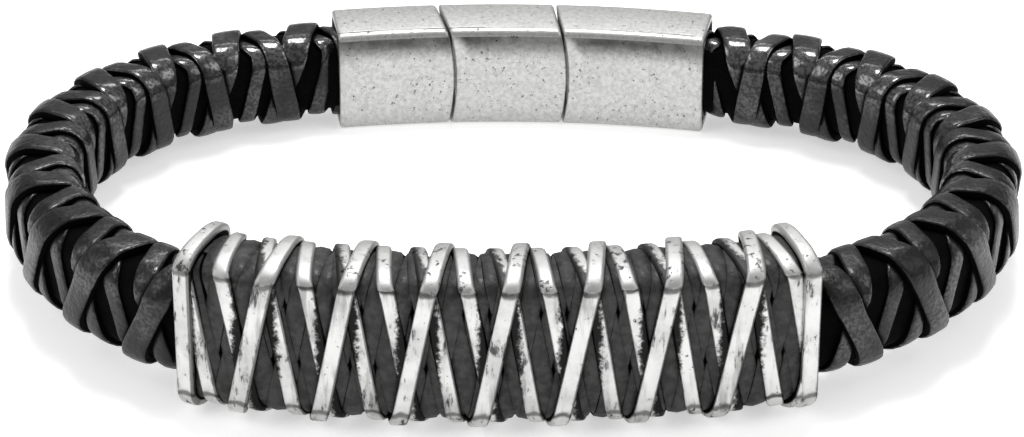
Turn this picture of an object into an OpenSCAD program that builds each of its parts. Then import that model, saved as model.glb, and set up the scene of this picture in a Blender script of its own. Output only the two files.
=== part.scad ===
// A leather bracelet lying flat as a closed oval loop, with the axis of the loop vertical.
// A cast metal sleeve of crossing bars covers the front, flat leather laces are wound over both
// sides, and a three-piece magnetic clasp closes the back. Sizes are millimetres.
// The loop's middle line is worked out from a few arcs, and every lace and bar is a strip that
// runs round and round the strap while it moves along that line.

/* [Loop] */
// Bend radius of the strap's middle line through the front sleeve
front_radius = 103.6; // [90:0.1:120]
// Angle from the middle of the front to the end of its bend
front_angle = 8.9; // [7:0.1:10]
// Bend radius beside the sleeve
shoulder_radius = 25.4; // [24:0.1:27]
// Angle turned beside the sleeve
shoulder_angle = 55.5; // [52:0.5:58]
// Bend radius at each end of the oval
side_radius = 19.9; // [19:0.1:21]
// Angle turned at each end of the oval
side_angle = 82; // [80:0.5:84]
// Bend radius beside the clasp
corner_radius = 25.7; // [24:0.1:28]
// Angle from the clasp's middle to the end of its bend
clasp_angle = 12.8; // [12:0.1:14]
// How far the sleeve's left end lies ahead of its right end
sleeve_skew = 1.3; // [0:0.1:2]

/* [Wound leather] */
// Height of the strap's middle where it leaves the sleeve
front_level = 6.45; // [6.2:0.05:6.8]
// Height of the wound strap where it leaves the sleeve
strap_front_h = 9.0; // [8.6:0.1:9.4]
// Thickness of the wound strap where it leaves the sleeve
strap_front_t = 6.8; // [6.4:0.1:7]
// Height of the wound strap at the clasp
strap_back_h = 7.9; // [7.6:0.1:8.3]
// Thickness of the wound strap at the clasp
strap_back_t = 6.0; // [5.8:0.1:6.3]
// Distance along the strap from one turn of a lace to the next
lace_pitch = 6.25; // [6:0.05:6.5]
// Width of the two laces that cross each other, measured along the strap
lace_w = 2.0; // [1.5:0.05:2]
// Width of the lace beneath them, measured along the strap
under_lace_w = 1.6; // [1.2:0.05:1.6]
// Thickness of a lace
lace_t = 0.9; // [0.7:0.05:0.95]
// Clear gap between leather surfaces that lie on each other
lace_gap = 0.12; // [0.08:0.01:0.2]

/* [Sleeve] */
// Height of the sleeve
sleeve_h = 14.0; // [13.6:0.1:14.4]
// Thickness of the sleeve from the wrist side to the outside
sleeve_t = 7.2; // [7:0.1:7.6]
// How far the sleeve's top arches above the edge of its outer face
arch_rise = 1.4; // [1.2:0.1:1.6]
// How far the sleeve's foot drops below the edge of its outer face
foot_drop = 2.2; // [2:0.1:2.4]
// How far the middle of the sleeve lies outside the strap's middle line
sleeve_out = 0.25; // [0.2:0.05:0.3]
// Distance along the strap from the middle of the front to the sleeve's left end
sleeve_left = 23.15; // [22:0.05:24]
// Distance along the strap from the middle of the front to the sleeve's right end
sleeve_right = 22.55; // [22:0.05:24]
// Distance along the strap from one bar to the next of its family
bar_pitch = 5.8; // [5.5:0.01:6]
// Width of the outer bars, measured along the strap
over_bar_w = 1.35; // [1.2:0.05:1.6]
// Width of the bars that pass beneath, measured along the strap
under_bar_w = 1.2; // [1:0.05:1.4]
// Thickness of a bar
bar_t = 0.56; // [0.5:0.02:0.64]
// Width of the closed ring at each end of the sleeve
ring_w = 1.25; // [1.2:0.05:1.6]
// How far the rings stand out past the bars
ring_lip = 0.12; // [0.05:0.01:0.2]

/* [Clasp] */
// Height of the clasp
clasp_h = 8.9; // [8.5:0.1:9.4]
// Thickness of the clasp from the wrist side to the outside
clasp_t = 5.2; // [4.9:0.1:5.6]
// Distance along the strap from the middle of the back to the left cap's end
left_end = 15.2; // [15:0.1:16]
// Distance along the strap from the middle of the back to the right cap's end
right_end = 16.0; // [15.8:0.1:16.6]
// Place of the seam between the left cap and the link
left_seam = -5.7; // [-6.5:0.1:-5]
// Place of the seam between the link and the right cap
right_seam = 3.9; // [3:0.1:4.5]
// Width of the bevel along the clasp's edges
clasp_bevel = 0.6; // [0.4:0.05:0.8]

/* [Hidden] */
LEATHER = [0.17, 0.17, 0.18];
SILVER = [0.78, 0.78, 0.79];

// The right half of the middle line, as arcs from the middle of the front to the middle of the back
RADIUS = 0;
SWEEP = 1;
corner_angle = 180 - front_angle - shoulder_angle - side_angle - clasp_angle;
BENDS = [
    // bend radius, angle turned
    [front_radius, front_angle],
    [shoulder_radius, shoulder_angle],
    [side_radius, side_angle],
    [corner_radius, corner_angle]];
function turned(i) = i == 0 ? 0 : turned(i - 1) + BENDS[i - 1][SWEEP];
function reach(i) = i == 0 ? 0
    : reach(i - 1) + BENDS[i - 1][RADIUS] * (sin(turned(i)) - sin(turned(i - 1)));
// The last arc's radius brings the line back to the middle
clasp_radius = reach(len(BENDS)) / sin(clasp_angle);
ARCS = concat(BENDS, [[clasp_radius, clasp_angle]]);

// Where each arc starts: across, deep, heading and distance along the strap
ACROSS = 0;
DEEP = 1;
HEADING = 2;
ALONG = 3;
function next_start(p, arc) = let (h = p[HEADING], e = h + arc[SWEEP], r = arc[RADIUS])
    [p[ACROSS] + r * (sin(e) - sin(h)), p[DEEP] + r * (cos(h) - cos(e)), e,
     p[ALONG] + r * arc[SWEEP] * PI / 180];
STARTS = [for (i = 0, p = [0, 0, 0, 0]; i <= len(ARCS);
               p = i < len(ARCS) ? next_start(p, ARCS[i]) : p, i = i + 1) p];
half_loop = STARTS[len(ARCS)][ALONG];
// The box round the whole bracelet is centred on the origin
front_reach = sleeve_t / 2 + sleeve_out;
depth = STARTS[len(ARCS)][DEEP] + front_reach + clasp_t / 2;
front_y = front_reach - depth / 2;
back_y = (depth - clasp_t) / 2;

function arc_at(a, i = 0) = i == len(ARCS) - 1 || a < STARTS[i + 1][ALONG] ? i : arc_at(a, i + 1);
// Middle line at a signed distance from the middle of the front: [x, y, heading]
function even_middle(s) = let (a = abs(s), i = arc_at(a), p = STARTS[i], r = ARCS[i][RADIUS],
                               h = p[HEADING] + (a - p[ALONG]) / r * 180 / PI)
    [sign(s) * (p[ACROSS] + r * (sin(h) - sin(p[HEADING]))),
     front_y + p[DEEP] + r * (cos(p[HEADING]) - cos(h)),
     sign(s) * h];
// The same line with the sleeve turned a little, which fades out toward the clasp
skew_slope = sleeve_skew / (sleeve_left + sleeve_right);
function middle(s) = let (m = even_middle(s), span = back_y - front_y, fade = (back_y - m[1]) / span,
                          lean = skew_slope * pow(fade, 3),
                          change = 3 * skew_slope * pow(fade, 2) * m[0] / span)
    [m[0], m[1] + lean * m[0], atan2(sin(m[2]) * (1 - change) + lean * cos(m[2]), cos(m[2]))];
clasp_start = half_loop - max(left_end, right_end);
sleeve_end = max(sleeve_left, sleeve_right);
// Share of the way from the sleeve to the clasp, eased at both ends
function share(s) = let (v = (abs(s) - sleeve_end) / (clasp_start - sleeve_end), u = min(1, max(0, v)))
    u * u * (3 - 2 * u);
// The sleeve and the clasp both stand on z = 0, so the strap's middle sinks toward the clasp
function level(s) = front_level + share(s) * (clasp_h / 2 - front_level);
// A point beside the middle line: out is away from the wrist
function spot(s, out, up) = let (m = middle(s))
    [m[0] + out * sin(m[2]), m[1] - out * cos(m[2]), level(s) + up];

// One turn round a rounded section, from its lower outer corner up over the top and back beneath
SIDE = 0;
END = 1;
FACING = 2;
RIM = [
    // side (out is 1), end (up is 1), direction of the surface
    [1, -1, -45], [1, -1, 0], [1, 1, 0], [1, 1, 45], [1, 1, 90], [0, 1, 90], [-1, 1, 90],
    [-1, 1, 135], [-1, 1, 180], [-1, -1, 180], [-1, -1, 225], [-1, -1, 270], [0, -1, 270], [1, -1, 270]];
ROWS = len(RIM);
// Rows at the middles of the four corners, and the first one again
CORNERS = [0, 3, 7, 10, ROWS];
// A section is its height, its thickness, the heights of its upper and lower corners, their reach
// over its thickness, and the place of its middle: outside the strap's middle line, and above it
HIGH = 0;
THICK = 1;
TOP_CORNER = 2;
FOOT_CORNER = 3;
REACH = 4;
OUTSIDE = 5;
ABOVE = 6;
function round_section(h, t, corner) = [h, t, corner, corner, corner, 0, 0];
// Point on the section's outline, or at an offset outside it. The corners are quarter ellipses.
function rim_point(row, section, offset) =
    let (r = RIM[row % ROWS], rise = section[r[END] > 0 ? TOP_CORNER : FOOT_CORNER], reach = section[REACH],
         facing = [cos(r[FACING]) / reach, sin(r[FACING]) / rise])
    [section[OUTSIDE] + r[SIDE] * (section[THICK] / 2 - reach) + reach * cos(r[FACING]),
     section[ABOVE] + r[END] * (section[HIGH] / 2 - rise) + rise * sin(r[FACING])]
    + offset * facing / norm(facing);
function walked(row, section) = row == 0 ? 0
    : walked(row - 1, section) + norm(rim_point(row, section, 0) - rim_point(row - 1, section, 0));
function total(list, n) = n == 0 ? 0 : list[n - 1] + total(list, n - 1);
// How far along the strap a strip has moved at each row, in pitches, from its moves over the
// outer face, the top, the wrist side and the bottom
function row_moves(faces, section) = [for (row = [0:ROWS - 1])
    let (f = row < CORNERS[1] ? 0 : row < CORNERS[2] ? 1 : row < CORNERS[3] ? 2 : 3,
         from = walked(CORNERS[f], section), to = walked(CORNERS[f + 1], section))
    total(faces, f) + faces[f] * (walked(row, section) - from) / (to - from)];

// A solid swept through rings of count points each
function swept_faces(rings, count) = concat(
    [[for (j = [count - 1:-1:0]) j]],
    [for (i = [0:rings - 2], j = [0:count - 1], half = [0, 1])
        let (a = i * count + j, b = i * count + (j + 1) % count)
        half == 0 ? [a, b + count, a + count] : [a, b, b + count]],
    [[for (j = [0:count - 1]) (rings - 1) * count + j]]);
module swept(rings, count) {
    polyhedron(points = [for (ring = rings) each ring], faces = swept_faces(len(rings), count),
               convexity = 10);
}

// The two edges of a strip at each row of each turn. Its average path runs between the first and
// last place, and where the strip would run past them it narrows to a thread.
MOST_TURNS = 12;
THREAD = 0.3;
function stations(rows, start, pitch, faces, section, width, first, last) =
    let (moves = row_moves(faces, section), turn = total(faces, len(faces)))
    [for (t = [-MOST_TURNS:MOST_TURNS], row = rows)
        let (average = start + pitch * turn * (t + row / ROWS), s = start + pitch * (t * turn + moves[row]))
        if (average > first && average < last)
            [row, min(max(s - width / 2, first), last - THREAD), max(min(s + width / 2, last), first + THREAD)]];
// A strip's four corners at one row, where offset is its outer surface's from the section
function strip_ring(row, low, high, section, offset, thickness) =
    [for (corner = [[low, offset - thickness], [high, offset - thickness], [high, offset], [low, offset]])
        let (p = rim_point(row, section, corner[1])) spot(corner[0], p[0], p[1])];

// Bars beneath sit this much deeper than the outer bars, so that crossing bars melt into each other
under_depth = 0.36;
// The core fills the sleeve, is slimmer beneath the laces, and ends inside the clasp's caps
sleeve_wall = ring_lip + under_depth + bar_t;
core_gap = 0.1;
core_step = 4;
cap_depth = 4;
core_end = clasp_start + cap_depth;
wound_core = round_section(strap_back_h - 4 * (lace_t + lace_gap), strap_back_t - 4 * (lace_t + lace_gap), 0.5);
sleeve_core_corners = [0.8, 1.3, 1.8];
sleeve_core = concat([sleeve_h - 2 * (sleeve_wall + core_gap), sleeve_t - 2 * (sleeve_wall + core_gap)],
                     sleeve_core_corners, [sleeve_out, sleeve_h / 2 - front_level]);
// Rows at the two ends of each corner
CORNER_ROWS = [1, 2, 4, 6, 8, 9, 11, 13];
function core_rings(section, from, to) = let (n = ceil((to - from) / core_step))
    [for (i = [0:n]) [for (row = CORNER_ROWS)
        let (p = rim_point(row, section, 0)) spot(from + (to - from) * i / n, p[0], p[1])]];
module leather_core() {
    color(LEATHER) swept(concat(core_rings(wound_core, -core_end, -sleeve_left),
                                core_rings(sleeve_core, core_gap - sleeve_left, sleeve_right - core_gap),
                                core_rings(wound_core, sleeve_right, core_end)), len(CORNER_ROWS));
}

// Laces. Each runs round the strap once for each pitch that it moves along it.
LACE_FACES = 0;
LACE_START = 1;
LACE_LAYERS = 2;
outer_lace_start = 27.3;
inner_lace_start = outer_lace_start - 0.47 * lace_pitch;
under_lace_start = inner_lace_start - 0.5 * lace_pitch;
OUTER_LACE = [
    // moves over the outer face, top, wrist side and bottom
    [-0.45, -0.22, -0.24, -0.09],
    // place at the lower outer corner
    outer_lace_start,
    // layer at each row of RIM, 1 where it lies on the others
    [1, 1, 1, 1, 1, 1, 1, 0, 0, 0, 0, 1, 1, 1]];
INNER_LACE = [
    [0.3, 0.22, 0.36, 0.12],
    inner_lace_start,
    [0, 0, 0, 0, 0, 1, 1, 1, 1, 1, 1, 1, 1, 0]];
UNDER_LACE = [
    [0.3, 0.5, -0.24, 0.44],
    under_lace_start,
    [for (row = RIM) 0]];
lace_corner = 1.3;
end_gap = 0.15;
// The section where the two layers meet
function wound_section(s) = let (u = share(s), inset = 2 * lace_t + lace_gap)
    round_section(strap_front_h + u * (strap_back_h - strap_front_h) - inset,
                  strap_front_t + u * (strap_back_t - strap_front_t) - inset, lace_corner);
function lace_ring(row, low, high, layer) =
    let (offset = layer == 1 ? lace_t + lace_gap / 2 : -lace_gap / 2)
    strip_ring(row, low, high, wound_section((low + high) / 2), offset, lace_t);
// The laces of one side, where side is 1 on the right and -1 on the left, with its ring order kept
function lace_rings(kind, width, side) =
    let (first = side > 0 ? sleeve_right : sleeve_left, last = half_loop - (side > 0 ? right_end : left_end),
         strip = stations([0:ROWS - 1], kind[LACE_START], lace_pitch, kind[LACE_FACES], wound_section(0),
                          width, first + end_gap, last - end_gap))
    [for (st = strip) let (layer = kind[LACE_LAYERS][st[0]])
        side > 0 ? lace_ring(st[0], st[1], st[2], layer) : lace_ring(st[0], -st[1], -st[2], layer)];
module lace(kind, width, side) {
    rings = lace_rings(kind, width, side);
    color(LEATHER) swept(side > 0 ? rings : [for (i = [len(rings) - 1:-1:0]) rings[i]], 4);
}
module left_outer_lace() lace(OUTER_LACE, lace_w, -1);
module left_inner_lace() lace(INNER_LACE, lace_w, -1);
module left_under_lace() lace(UNDER_LACE, under_lace_w, -1);
module right_outer_lace() lace(OUTER_LACE, lace_w, 1);
module right_inner_lace() lace(INNER_LACE, lace_w, 1);
module right_under_lace() lace(UNDER_LACE, under_lace_w, 1);

// Sleeve. One family of outer bars leans one way, and two families beneath lean the other way.
arch_reach = 3;
sleeve_section = [sleeve_h, sleeve_t, arch_rise, foot_drop, arch_reach, sleeve_out, sleeve_h / 2 - front_level];
BAR_FACES = 0;
BAR_START = 1;
// Moves over the outer face, top, wrist side and bottom, and the place at the lower outer corner
OUTER_BARS = [[0.44, 0.12, 0.29, 0.15], -1.8];
UNDER_BARS = [
    [[-0.385, -0.09, -0.34, -0.185], -0.4],
    [[-0.365, -0.16, -0.31, -0.165], 2.5]];
BAR_ROWS = [for (row = [0:ROWS - 1]) if (RIM[row][SIDE] != 0) row];
// How far the bars run on into the end rings
bar_tail = 2 / 3 * ring_w;
module bar(kind, width, depth) {
    strip = stations(BAR_ROWS, kind[BAR_START], bar_pitch, kind[BAR_FACES], sleeve_section, width,
                     ring_w - bar_tail - sleeve_left, sleeve_right - ring_w + bar_tail);
    swept([for (st = strip) strip_ring(st[0], st[1], st[2], sleeve_section, -ring_lip - depth, bar_t)], 4);
}
// One side of an end ring, between two rows
module ring_block(row, low, high) {
    corners = [for (r = [row, row + 1]) each strip_ring(r, low, high, sleeve_section, 0, sleeve_wall)];
    hull() polyhedron(points = corners, faces = [[0, 1, 2, 3], [4, 5, 6, 7]]);
}
module front_sleeve() {
    color(SILVER) {
        bar(OUTER_BARS, over_bar_w, 0);
        for (kind = UNDER_BARS)
            bar(kind, under_bar_w, under_depth);
        for (row = [0:ROWS - 1]) {
            ring_block(row, -sleeve_left, ring_w - sleeve_left);
            ring_block(row, sleeve_right - ring_w, sleeve_right);
        }
    }
}

// Clasp. Three blocks on one arc, with bowed seams, and a tongue of each cap inside the link.
seam_gap = 0.1;
seam_bow_radius = 20;
left_seam_turn = 14;
right_seam_turn = 8;
tongue_l = 3;
tongue_h = 4;
tongue_t = 2.2;
fit_gap = 0.1;
block_overlap = 4;
socket_slack = 1;
tongue_bevel = 0.1;
clasp_centre_y = back_y - clasp_radius;
function clasp_bearing(x) = 90 - x / clasp_radius * 180 / PI;
// A bar of the clasp's arc between two places along it, with bevelled long edges
module clasp_arc(from, to, h, t, bevel) {
    translate([0, clasp_centre_y, clasp_h / 2])
        rotate([0, 0, clasp_bearing(to)])
            rotate_extrude(angle = clasp_bearing(from) - clasp_bearing(to), $fn = 720)
                translate([clasp_radius, 0])
                    polygon([[t / 2 - bevel, -h / 2], [t / 2, bevel - h / 2], [t / 2, h / 2 - bevel],
                             [t / 2 - bevel, h / 2], [bevel - t / 2, h / 2], [-t / 2, h / 2 - bevel],
                             [-t / 2, bevel - h / 2], [bevel - t / 2, -h / 2]]);
}
// Everything to the left of a bowed seam
module left_of_seam(x, turn) {
    translate([x, back_y, clasp_h / 2])
        rotate([0, 0, turn])
            translate([-seam_bow_radius, 0, 0])
                rotate([90, 0, 0])
                    cylinder(h = 4 * clasp_t, r = seam_bow_radius, center = true, $fn = 180);
}
module tongue(x, grow) {
    clasp_arc(x - tongue_l - grow, x + tongue_l + grow, tongue_h + 2 * grow, tongue_t + 2 * grow,
              tongue_bevel);
}
module core_socket(from, to) {
    clasp_arc(from, to, wound_core[HIGH] + 2 * core_gap, wound_core[THICK] + 2 * core_gap,
              tongue_bevel);
}
module clasp_left_cap() {
    color(SILVER) difference() {
        union() {
            intersection() {
                clasp_arc(-left_end, left_seam + block_overlap, clasp_h, clasp_t, clasp_bevel);
                left_of_seam(left_seam - seam_gap / 2, left_seam_turn);
            }
            tongue(left_seam, 0);
        }
        core_socket(-left_end - socket_slack, -left_end + cap_depth + socket_slack);
    }
}
module clasp_link() {
    color(SILVER) difference() {
        intersection() {
            clasp_arc(left_seam - block_overlap, right_seam + block_overlap, clasp_h, clasp_t, clasp_bevel);
            left_of_seam(right_seam - seam_gap / 2, right_seam_turn);
        }
        left_of_seam(left_seam + seam_gap / 2, left_seam_turn);
        tongue(left_seam, fit_gap);
        tongue(right_seam, fit_gap);
    }
}
module clasp_right_cap() {
    color(SILVER) difference() {
        union() {
            difference() {
                clasp_arc(right_seam - block_overlap, right_end, clasp_h, clasp_t, clasp_bevel);
                left_of_seam(right_seam + seam_gap / 2, right_seam_turn);
            }
            tongue(right_seam, 0);
        }
        core_socket(right_end - cap_depth - socket_slack, right_end + socket_slack);
    }
}

leather_core();
front_sleeve();
left_outer_lace();
left_inner_lace();
left_under_lace();
right_outer_lace();
right_inner_lace();
right_under_lace();
clasp_left_cap();
clasp_link();
clasp_right_cap();
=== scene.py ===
import math

import bmesh
import bpy
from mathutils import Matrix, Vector


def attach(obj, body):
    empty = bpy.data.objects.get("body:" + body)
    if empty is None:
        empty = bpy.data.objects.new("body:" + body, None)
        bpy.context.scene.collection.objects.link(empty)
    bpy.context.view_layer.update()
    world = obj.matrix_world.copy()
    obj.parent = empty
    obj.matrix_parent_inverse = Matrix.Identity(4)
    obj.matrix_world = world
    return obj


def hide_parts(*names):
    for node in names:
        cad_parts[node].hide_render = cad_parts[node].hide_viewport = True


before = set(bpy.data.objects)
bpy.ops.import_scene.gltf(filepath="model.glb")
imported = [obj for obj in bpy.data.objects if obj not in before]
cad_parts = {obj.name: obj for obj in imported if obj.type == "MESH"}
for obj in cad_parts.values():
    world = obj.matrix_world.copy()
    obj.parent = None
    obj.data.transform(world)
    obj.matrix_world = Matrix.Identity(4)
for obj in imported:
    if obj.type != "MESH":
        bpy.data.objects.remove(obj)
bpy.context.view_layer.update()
mm = 0.001
toMm = 1000.0

# where the strap runs, in millimetres, with the same numbers as the solid part
loop = {
    "bends": [(103.6, 8.9), (25.4, 55.5), (19.9, 82.0), (25.7, None)],  # radius, angle from the front on
    "claspAngle": 12.8,
    "skew": 1.3,  # how far the left end of the sleeve lies ahead
    "samples": 1200,
}
strap = {"frontHigh": 9.0, "frontThick": 6.8, "backHigh": 7.9, "backThick": 6.0, "frontLevel": 6.45}
sleeve = {
    "high": 14.0, "thick": 7.2, "archRise": 1.4, "footDrop": 2.2, "cornerReach": 3.0,
    "out": 0.25, "left": 23.15, "right": 22.55,
}
clasp = {
    "high": 8.9, "thick": 5.2, "leftEnd": 15.2, "rightEnd": 16.0,
    "leftSeam": (-5.7, 14.0), "rightSeam": (3.9, 8.0),  # place and lean
    "bow": 20.0, "seamGap": 0.18, "bevel": 0.62, "lip": 0.16,
}


def bendList():
    known = sum(angle for radius, angle in loop["bends"] if angle)
    bends = [(radius, angle or 180 - known - loop["claspAngle"]) for radius, angle in loop["bends"]]
    reach, turned = 0.0, 0.0
    for radius, angle in bends:
        after = turned + math.radians(angle)
        reach += radius * (math.sin(after) - math.sin(turned))
        turned = after
    # the last bend, through the clasp, closes the loop
    return bends + [(reach / math.sin(math.radians(loop["claspAngle"])), loop["claspAngle"])]


bends = bendList()
claspRadius = bends[-1][0]
arcStarts = [(0.0, 0.0, 0.0, 0.0)]  # across, deep, heading, distance along the strap
for radius, angle in bends:
    x, y, heading, along = arcStarts[-1]
    after = heading + math.radians(angle)
    arcStarts.append((x + radius * (math.sin(after) - math.sin(heading)),
                      y + radius * (math.cos(heading) - math.cos(after)),
                      after, along + radius * math.radians(angle)))
halfLoop = arcStarts[-1][3]
frontReach = sleeve["thick"] / 2 + sleeve["out"]
depth = arcStarts[-1][1] + frontReach + clasp["thick"] / 2
frontY = frontReach - depth / 2
backY = (depth - clasp["thick"]) / 2
claspStart = halfLoop - clasp["rightEnd"]


def middleAt(s):
    # the place and heading of the strap's middle, s millimetres from the front
    away = abs(s)
    which = max(i for i in range(len(bends)) if away >= arcStarts[i][3])
    x, y, heading, along = arcStarts[which]
    radius = bends[which][0]
    now = heading + (away - along) / radius
    side = -1 if s < 0 else 1
    px = side * (x + radius * (math.sin(now) - math.sin(heading)))
    py = frontY + y + radius * (math.cos(heading) - math.cos(now))
    span = backY - frontY
    fade = (backY - py) / span
    slope = loop["skew"] / (sleeve["left"] + sleeve["right"])
    lean = slope * fade ** 3
    change = 3 * slope * fade ** 2 * px / span
    turned = side * now
    return (px, py + lean * px,
            math.atan2(math.sin(turned) * (1 - change) + lean * math.cos(turned), math.cos(turned)))


def taperAt(s):
    # 0 beside the sleeve, 1 beside the clasp
    share = min(1.0, max(0.0, (abs(s) - sleeve["left"]) / (claspStart - sleeve["left"])))
    return share * share * (3 - 2 * share)


def spot(s, out, up):
    x, y, heading = middleAt(s)
    level = strap["frontLevel"] + taperAt(s) * (clasp["high"] / 2 - strap["frontLevel"])
    return Vector((x + out * math.sin(heading), y - out * math.cos(heading), level + up)) * mm


def newObject(name, data):
    thing = bpy.data.objects.new(name, data)
    bpy.context.collection.objects.link(thing)
    return thing


# camera and light
view = {"aim": (0.0, -2.425, 5.0), "far": 340.0, "azimuth": 0.903, "elevation": 31.0, "lens": 152.1}
lighting = {
    "world": 0.40, "floor": 0.90, "glow": 0.50, "aim": (0.0, 0.0, 0.005),
    "boxes": {  # place, size and power
        "topBox": ((0.0, 0.14, 0.46), (0.15, 0.16), 1.5),
        "leftBox": ((-0.42, -0.12, 0.36), (0.35, 0.35), 0.7),
        "rightBox": ((0.42, -0.08, 0.36), (0.35, 0.35), 0.6),
        "backBox": ((0.0, 0.33, 0.31), (0.34, 0.05), 0.3),
    },
}


def makeCamera():
    lens = bpy.data.cameras.new("productLens")
    lens.sensor_width = 36.0
    lens.lens = view["lens"]
    lens.clip_start = 0.01
    camera = newObject("productCamera", lens)
    az, el = math.radians(view["azimuth"]), math.radians(view["elevation"])
    back = Vector((math.sin(az) * math.cos(el), -math.cos(az) * math.cos(el), math.sin(el)))
    camera.location = (Vector(view["aim"]) + back * view["far"]) * mm
    camera.rotation_euler = back.to_track_quat("Z", "Y").to_euler()
    bpy.context.scene.camera = camera


def makeLight(name, where, size, power):
    lamp = bpy.data.lights.new(name, "AREA")
    lamp.shape = "RECTANGLE"
    lamp.size, lamp.size_y = size
    lamp.energy = power
    thing = newObject(name, lamp)
    thing.location = where
    thing.rotation_euler = (Vector(where) - Vector(lighting["aim"])).to_track_quat("Z", "Y").to_euler()


def makeWorld():
    world = bpy.data.worlds.new("softRoom")
    world.use_nodes = True
    background = world.node_tree.nodes["Background"]
    background.inputs["Color"].default_value = (1, 1, 1, 1)
    background.inputs["Strength"].default_value = lighting["world"]
    bpy.context.scene.world = world
    bpy.context.scene.view_settings.view_transform = "Standard"


makeCamera()
makeWorld()
for name, box in lighting["boxes"].items():
    makeLight(name, *box)
print("camera and light ready")


# one small class for sockets, used for shaders and geometry alike
def isVector(value):
    if isinstance(value, Wire):
        return value.socket.type in ("VECTOR", "RGBA")
    return isinstance(value, (tuple, list, Vector))


class Wire:
    def __init__(self, net, socket):
        self.net = net
        self.socket = socket

    def out(self, name):
        return Wire(self.net, self.socket.node.outputs[name])

    def work(self, how, first, second):
        if isVector(first) and isVector(second):
            return self.net.add("ShaderNodeVectorMath", {"operation": how}, {0: first, 1: second})
        if isVector(first) or isVector(second):
            if how != "MULTIPLY":
                raise ValueError(how)
            vector, number = (first, second) if isVector(first) else (second, first)
            return self.net.add("ShaderNodeVectorMath", {"operation": "SCALE"}, {0: vector, "Scale": number})
        return self.net.add("ShaderNodeMath", {"operation": how}, {0: first, 1: second})

    def __add__(self, other):
        return self.work("ADD", self, other)

    def __radd__(self, other):
        return self.work("ADD", other, self)

    def __sub__(self, other):
        return self.work("SUBTRACT", self, other)

    def __rsub__(self, other):
        return self.work("SUBTRACT", other, self)

    def __mul__(self, other):
        return self.work("MULTIPLY", self, other)

    def __rmul__(self, other):
        return self.work("MULTIPLY", other, self)

    def __truediv__(self, other):
        return self.work("DIVIDE", self, other)

    def __rtruediv__(self, other):
        return self.work("DIVIDE", other, self)

    def __neg__(self):
        return self.work("SUBTRACT", 0.0, self)

    def most(self, other):  # at most the other value
        return self.work("MINIMUM", self, other)

    def least(self, other):  # at least the other value
        return self.work("MAXIMUM", self, other)

    def through(self, how):
        kind = "ShaderNodeVectorMath" if isVector(self) else "ShaderNodeMath"
        return self.net.add(kind, {"operation": how}, {0: self})

    def part(self, axis):
        return self.net.add("ShaderNodeSeparateXYZ", {}, {0: self}).out(axis)

    def ramp(self, low, high, toLow=0.0, toHigh=1.0, kind="SMOOTHSTEP"):
        values = {"Value": self, "From Min": low, "From Max": high, "To Min": toLow, "To Max": toHigh}
        return self.net.add("ShaderNodeMapRange", {"interpolation_type": kind}, values)


class Net:
    def __init__(self, tree):
        self.tree = tree

    def add(self, kind, settings=None, values=None):
        node = self.tree.nodes.new(kind)
        for name, value in (settings or {}).items():
            if name == "curve":
                fillCurve(node, value)
            elif name == "capture":
                for kept in value:
                    node.capture_items.new(*kept)
            else:
                setattr(node, name, value)
        for key, value in (values or {}).items():
            socket = node.inputs[key]
            if isinstance(value, Wire):
                self.tree.links.new(value.socket, socket)
            elif socket.type == "RGBA" and len(value) == 3:
                socket.default_value = (*value, 1.0)
            else:
                socket.default_value = value
        shown = [o for o in node.outputs if o.enabled]
        return Wire(self, shown[0]) if shown else node

    def mix(self, share, first, second):  # sockets 6 and 7 are the two colours
        return self.add("ShaderNodeMix", {"data_type": "RGBA"}, {0: share, 6: first, 7: second})

    def joined(self, x=0.0, y=0.0, z=0.0):
        return self.add("ShaderNodeCombineXYZ", {}, {"X": x, "Y": y, "Z": z})

    def stretched(self, where, upright):
        return self.add("ShaderNodeMapping", {}, {"Vector": where, "Scale": (1.0, 1.0, upright)})

    def noise(self, where, scale, detail, rough=0.5):
        return self.add("ShaderNodeTexNoise", {},
                        {"Vector": where, "Scale": scale, "Detail": detail, "Roughness": rough})

    def attribute(self, name):
        return self.add("ShaderNodeAttribute", {"attribute_name": name}).out("Fac")


def fillCurve(node, points):
    line = node.mapping.curves[0]
    for place, value in points[1:-1]:
        line.points.new(place, value)
    for point, (place, value) in zip(line.points, points):
        point.location = (place, value)
        point.handle_type = "VECTOR"
    node.mapping.update()


# helper curves: the middle line of the strap, and outlines of its sections
def polyCurve(name, points, closed):
    data = bpy.data.curves.new(name, "CURVE")
    data.dimensions = "3D"
    line = data.splines.new("POLY")
    line.points.add(len(points) - 1)
    for point, place in zip(line.points, points):
        point.co = (*place, 1.0)
    line.use_cyclic_u = closed
    return newObject(name, data)


def outline(high, thick, top, foot, reach, out=0.0, above=0.0, cornerSteps=12):
    # the corners are quarter ellipses, and the outline starts at the middle of the lower outer one
    corners = [(1, -1, foot, -90), (1, 1, top, 0), (-1, 1, top, 90), (-1, -1, foot, 180)]
    points = []
    for side, end, rise, facing in corners:
        for step in range(cornerSteps + 1):
            angle = math.radians(facing + 90 * step / cornerSteps)
            points.append((out + side * (thick / 2 - reach) + reach * math.cos(angle),
                           above + end * (high / 2 - rise) + rise * math.sin(angle)))
    half = cornerSteps // 2
    return points[half:] + points[:half]


def walkShares(section):
    # how far round each point of the outline lies, from 0 to 1
    points = outline(*section)
    lengths = [0.0]
    for a, b in zip(points, points[1:] + points[:1]):
        lengths.append(lengths[-1] + math.dist(a, b))
    return [length / lengths[-1] for length in lengths]


def cornerShares(section):
    shares = walkShares(section)
    steps = (len(shares) - 1) // 4
    return [shares[steps * i] for i in range(5)]


def moveStops(moves, shares):
    # how much of its pitch a strip has moved at each corner, from its moves along the four faces
    points, moved = [(0.0, 0.0)], 0.0
    for share, move in zip(shares[1:], moves):
        moved += move / sum(moves)
        points.append((share, moved))
    return points


def sectionCurve(name, section):
    return polyCurve(name, [(x * mm, y * mm, 0.0) for x, y in outline(*section)], True)


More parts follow.
